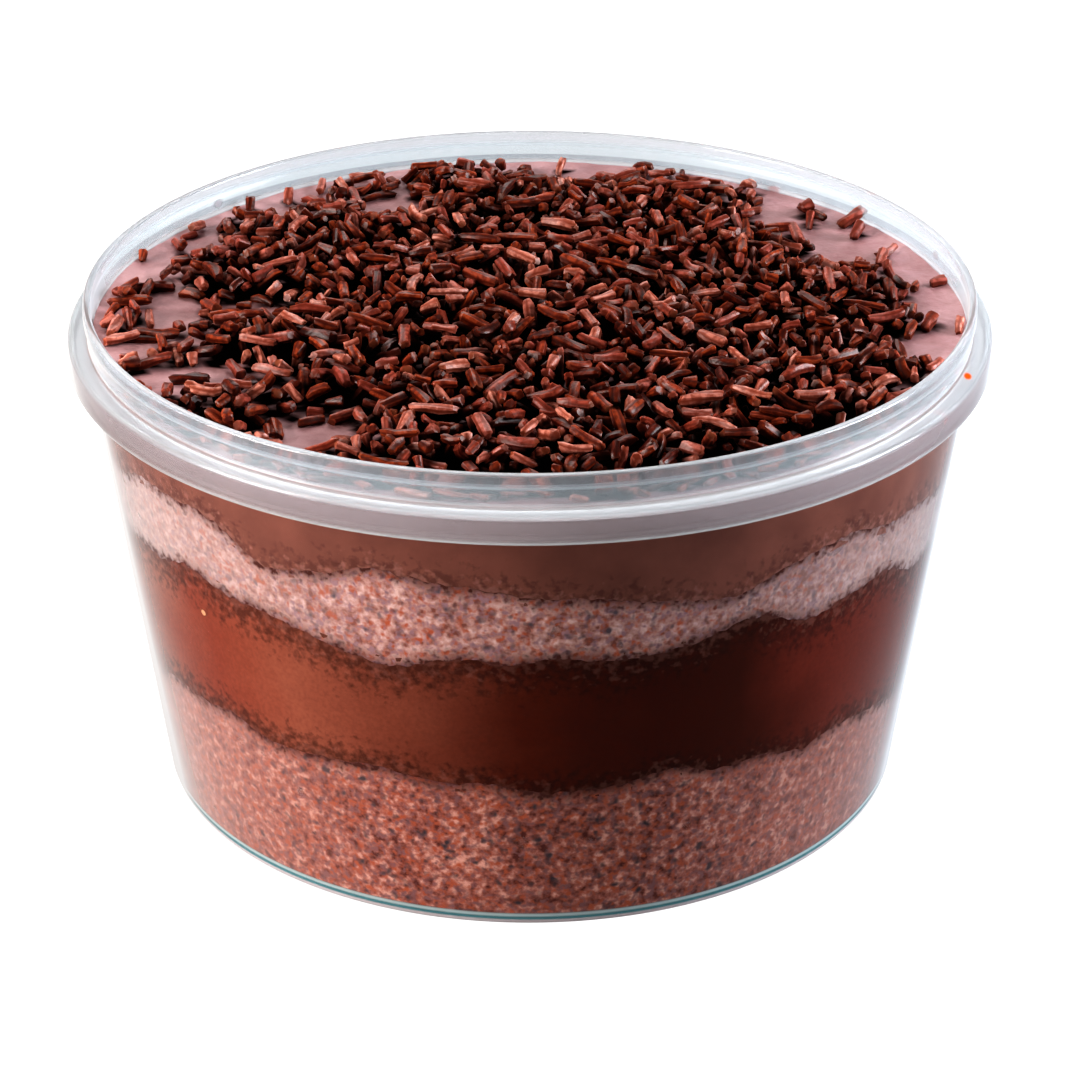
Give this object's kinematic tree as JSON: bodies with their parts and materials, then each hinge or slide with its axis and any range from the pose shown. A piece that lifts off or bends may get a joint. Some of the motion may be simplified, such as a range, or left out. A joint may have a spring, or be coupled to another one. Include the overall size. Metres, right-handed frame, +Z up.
{
  "type": "jar cake",
  "caption": "Layered chocolate cake in a round clear tub: sponge and smooth filling under a chocolate cream heaped with sprinkles.",
  "frame": {"origin": "middle of the tub's foot, on the surface it stands on", "axes": "+Z up the tub's axis, the side that the picture shows faces -Y"},
  "size_m": [0.101, 0.101, 0.056],
  "materials": {
    "polypropylene": "clear moulded polypropylene, slightly milky",
    "chocolate_sponge": "moist chocolate sponge, fine crumb pressed against the wall",
    "chocolate_filling": "smooth dark chocolate filling",
    "chocolate_cream": "smooth chocolate cream under dark chocolate sprinkles"
  },
  "bodies": {
    "root": {"tub": "polypropylene", "cake_lower": "chocolate_sponge", "filling": "chocolate_filling", "cake_upper": "chocolate_sponge", "cream_top": "chocolate_cream"}
  },
  "joints": []
}
